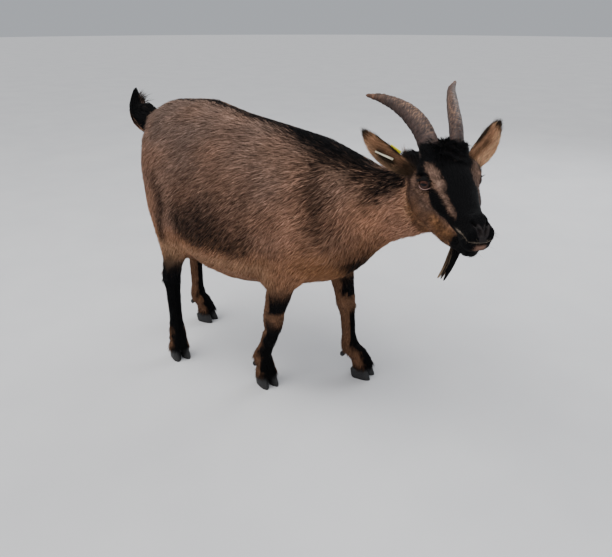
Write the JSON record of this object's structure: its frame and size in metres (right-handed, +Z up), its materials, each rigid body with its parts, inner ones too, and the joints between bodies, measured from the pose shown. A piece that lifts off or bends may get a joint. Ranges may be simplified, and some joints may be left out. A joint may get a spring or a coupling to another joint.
{
  "type": "standing goat doe",
  "caption": "Chamois-coloured domestic goat doe, standing with its head turned to its right; a still, life-size museum model with horns, beard, short upright tail and a blank ear tag",
  "frame": {"origin": "centre of the footprint of the whole model, on the floor plane under its hooves", "axes": "+X the way the trunk faces, +Y to the goat's left, +Z up"},
  "size_m": [1.127, 0.4082, 0.8081],
  "materials": {
    "coat": "matt short fur, tan and grizzled brown",
    "dark_coat": "matt short fur, black",
    "horn": "dull ridged horn",
    "hoof": "dull slate-grey hoof horn",
    "eye": "wet amber-brown eye",
    "tag_yellow": "yellow moulded plastic",
    "tag_cream": "cream moulded plastic"
  },
  "bodies": {
    "root": {"beard": "dark_coat", "dewclaw_inner_fore_left": "hoof", "dewclaw_inner_fore_right": "hoof", "dewclaw_inner_hind_left": "hoof", "dewclaw_inner_hind_right": "hoof", "dewclaw_outer_fore_left": "hoof", "dewclaw_outer_fore_right": "hoof", "dewclaw_outer_hind_left": "hoof", "dewclaw_outer_hind_right": "hoof", "ear_left": "coat", "ear_right": "coat", "eye_left": "eye", "eye_right": "eye", "foreleg_lower_left": "dark_coat", "foreleg_lower_right": "dark_coat", "foreleg_upper_left": "coat", "foreleg_upper_right": "coat", "head": "dark_coat", "hindleg_lower_left": "dark_coat", "hindleg_lower_right": "dark_coat", "hindleg_upper_left": "coat", "hindleg_upper_right": "coat", "hoof_inner_fore_left": "hoof", "hoof_inner_fore_right": "hoof", "hoof_inner_hind_left": "hoof", "hoof_inner_hind_right": "hoof", "hoof_outer_fore_left": "hoof", "hoof_outer_fore_right": "hoof", "hoof_outer_hind_left": "hoof", "hoof_outer_hind_right": "hoof", "horn_left": "horn", "horn_right": "horn", "neck": "coat", "tag_button": "tag_yellow", "tag_strip": "tag_cream", "tail": "dark_coat", "trunk": "coat"}
  },
  "joints": []
}
